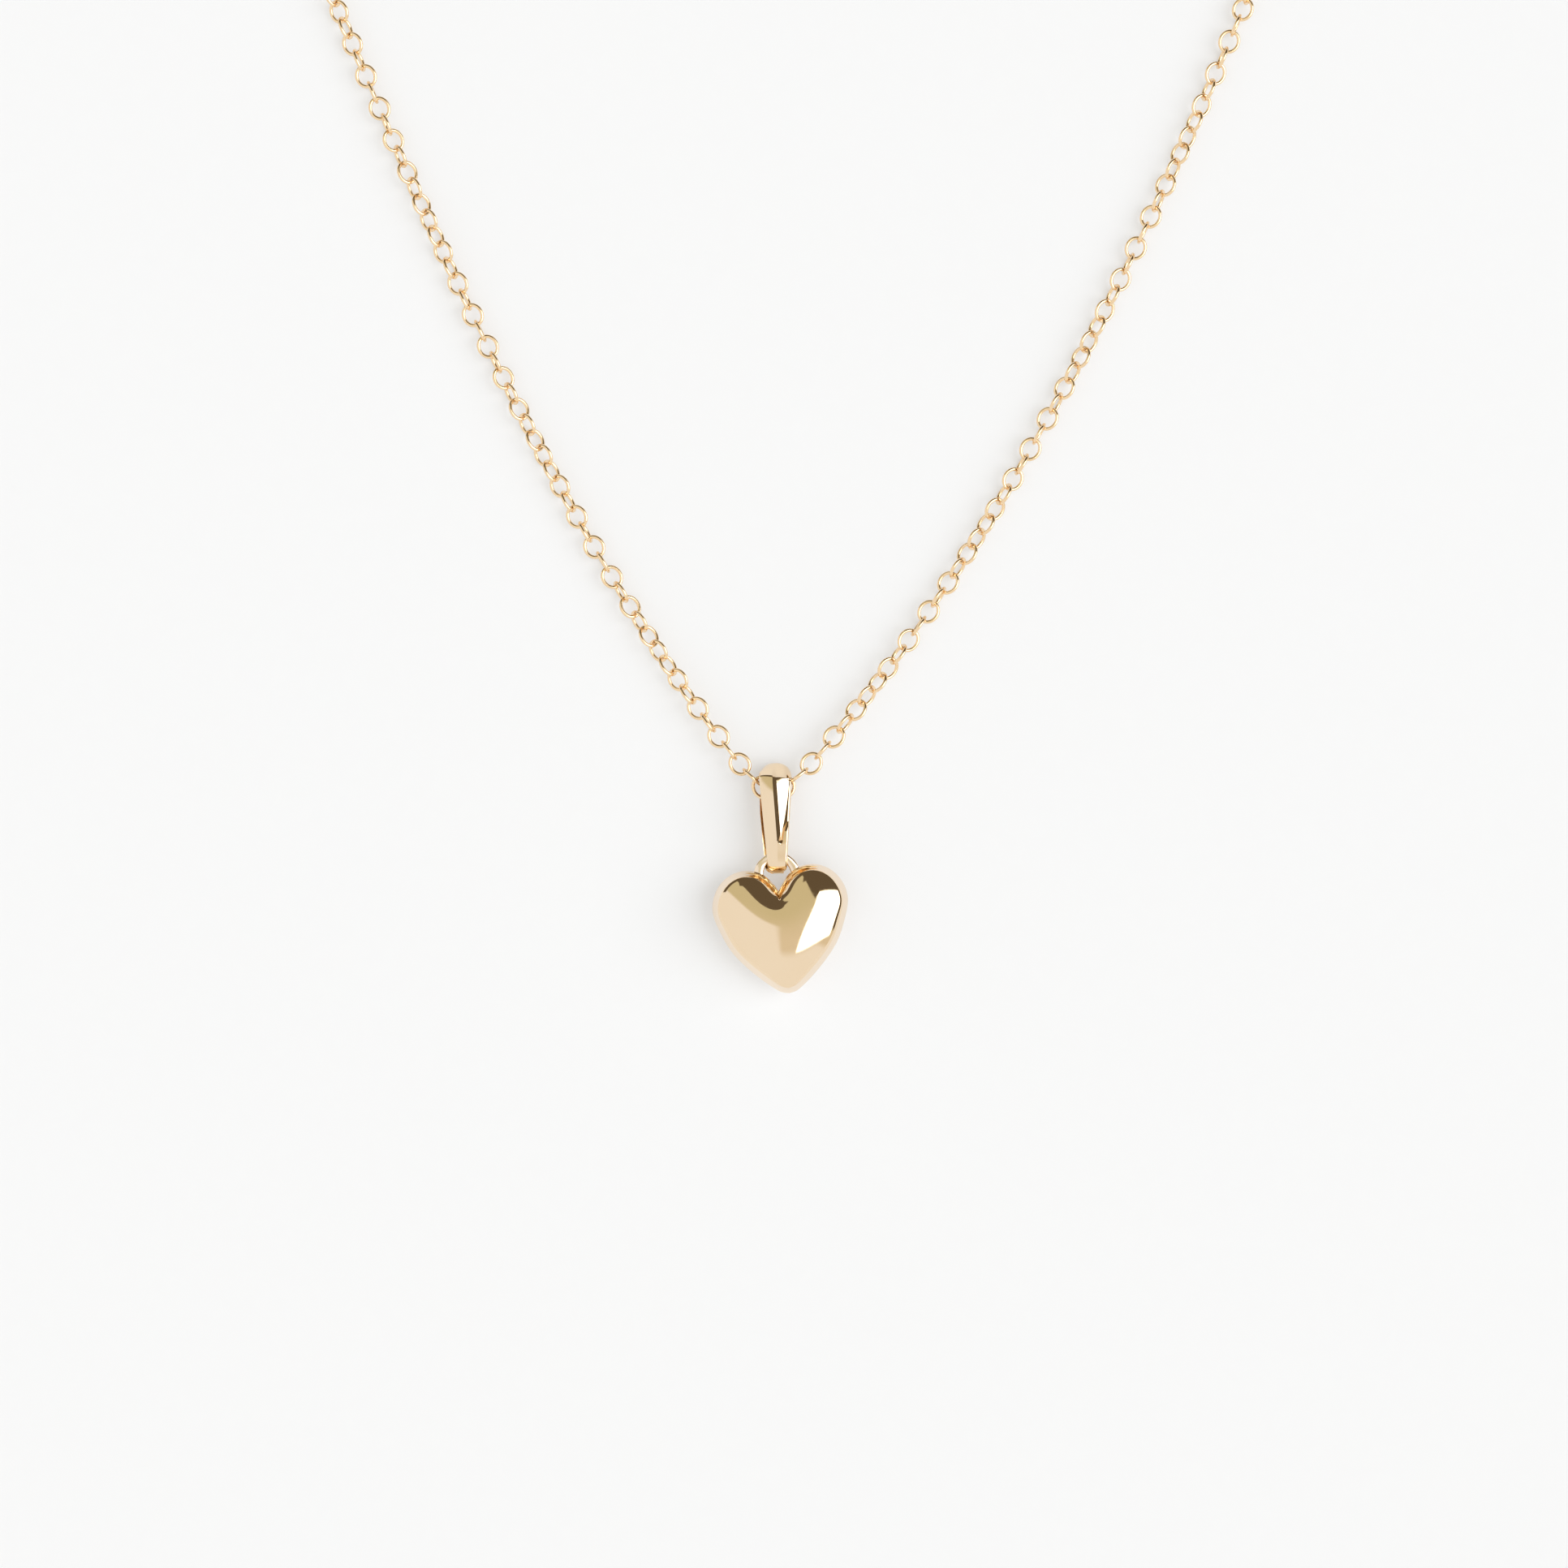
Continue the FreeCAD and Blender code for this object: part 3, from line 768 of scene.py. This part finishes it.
def build_studio():
    """A bright tent: pale walls, a dim warm ceiling, a dark room at the top and under the
    softbox, and the softbox on the right. The camera sees it as an even pale grey."""
    world = bpy.data.worlds.new("studio")
    bpy.context.scene.world = world
    world.use_nodes = True
    tree = world.node_tree
    where = node(tree, "ShaderNodeTexCoord")
    split = node(tree, "ShaderNodeSeparateXYZ")
    tree.links.new(where.outputs["Generated"], split.inputs[0])
    x, y, z = (split.outputs[i] for i in range(3))

    # The ceiling: right of the middle, and all of the back.
    overhead = every(tree, step(tree, x, -0.10, 0.0), step(tree, y, -0.48, -0.32))
    behind = step(tree, weighted(tree, (x, 0.566), (y, 0.824)), -0.02, 0.06)
    ceiling = flip(tree, every(tree, flip(tree, overhead), flip(tree, behind)))
    tan = paint(tree, CEILING_FRONT, CEILING_BACK, step(tree, y, -0.25, 0.40))
    colour = paint(tree, PALE_WALL, tan, ceiling)

    # The room shows past the tent's open edge, and low down at the back.
    slanted = weighted(tree, (x, -0.885), (1.0, 0.50))
    lowest = weighted(tree, (step(tree, x, 0.24, 0.30), 0.09), (1.0, 0.30))
    open_edge = maths(tree, "MAXIMUM", slanted, lowest)
    edge = maths(tree, "MINIMUM", open_edge, 0.66)
    past = maths(tree, "SUBTRACT", y, edge)
    room = every(tree, step(tree, past, -0.015, 0.015),
                 step(tree, weighted(tree, (x, 1.0), (y, 0.25)), -0.135, -0.105))
    beyond = step(tree, maths(tree, "SUBTRACT", y, open_edge), -0.015, 0.015)
    low = every(tree, step(tree, y, 0.45, 0.50), flip(tree, step(tree, z, 0.37, 0.43)))
    dark = maths(tree, "MAXIMUM", maths(tree, "MAXIMUM", room, beyond), low)
    colour = paint(tree, colour, ROOM_DARK, dark)

    # The room shows under the softbox too.
    under_lamp = every(tree, step(tree, x, 0.60, 0.70), flip(tree, step(tree, z, 0.25, 0.29)),
                       step(tree, y, -0.36, -0.30))
    colour = paint(tree, colour, ROOM_DARK, under_lamp)

    lamp = every(tree, step(tree, weighted(tree, (x, 1.0), (z, -0.29)), -0.015, 0.02),
                 step(tree, y, -0.42, -0.37), flip(tree, step(tree, past, -0.03, 0.0)),
                 step(tree, z, 0.27, 0.31), step(tree, x, 0.20, 0.25))
    colour = paint(tree, colour, SOFTBOX, lamp)
    path = node(tree, "ShaderNodeLightPath")
    colour = paint(tree, colour, BACKDROP, path.outputs["Is Camera Ray"])
    tree.links.new(colour, tree.nodes["Background"].inputs["Color"])


FLOOR_REACH = 3000.0
FLOOR_DARKER = (0.535, 0.545, 0.563)
FLOOR_LIGHTER = (0.545, 0.555, 0.573)
FLOOR_GLOW = 0.37


def build_floor():
    """A pale card under the necklace, with a glow of its own so that it reads near white."""
    far = FLOOR_REACH * MM
    corners = [(-far, -far, 0), (far, -far, 0), (far, far, 0), (-far, far, 0)]
    mesh = bpy.data.meshes.new("floor")
    mesh.from_pydata(corners, [], [(0, 1, 2, 3)])
    mat = bpy.data.materials.new("pale_card")
    mat.use_nodes = True
    tree = mat.node_tree
    bsdf = tree.nodes["Principled BSDF"]
    where = node(tree, "ShaderNodeTexCoord")
    grain = node(tree, "ShaderNodeTexNoise", Scale=900.0, Detail=4.0)
    tree.links.new(where.outputs["Object"], grain.inputs["Vector"])
    shade = node(tree, "ShaderNodeMix", data_type="RGBA")
    shade.inputs["A"].default_value = (*FLOOR_DARKER, 1.0)
    shade.inputs["B"].default_value = (*FLOOR_LIGHTER, 1.0)
    tree.links.new(grain.outputs["Fac"], shade.inputs["Factor"])
    tree.links.new(shade.outputs["Result"], bsdf.inputs["Base Color"])
    bsdf.inputs["Emission Color"].default_value = (1.0, 1.0, 1.0, 1.0)
    bsdf.inputs["Emission Strength"].default_value = FLOOR_GLOW
    bsdf.inputs["Roughness"].default_value = 0.9
    bsdf.inputs["Specular IOR Level"].default_value = 0.1
    mesh.materials.append(mat)
    floor = bpy.data.objects.new("floor", mesh)
    bpy.context.scene.collection.objects.link(floor)


def build_camera():
    data = bpy.data.cameras.new("camera")
    cam = bpy.data.objects.new("camera", data)
    bpy.context.scene.collection.objects.link(cam)
    data.sensor_width = 36.0
    data.lens = data.sensor_width * CAMERA_UP / VIEW_WIDE
    data.clip_start = 0.01
    data.clip_end = 10.0
    x, y, z = ORIGIN + LOOK_FROM_BAIL
    cam.location = (x * MM, y * MM, (z + CAMERA_UP) * MM)
    bpy.context.scene.camera = cam
    bpy.context.scene.view_settings.view_transform = "Standard"


def paint_carried():
    """Materials for the CAD nodes that are shown as they are."""
    for name, obj in frame["nodes"].items():
        if obj.hide_render:
            continue
        obj.data.materials.clear()
        obj.data.materials.append(M_STEEL if name == "clasp_spring" else M_CLASP)


build_chain()
build_bail()
build_heart()
build_loop()
build_solder()
paint_carried()
build_studio()
build_floor()
build_camera()
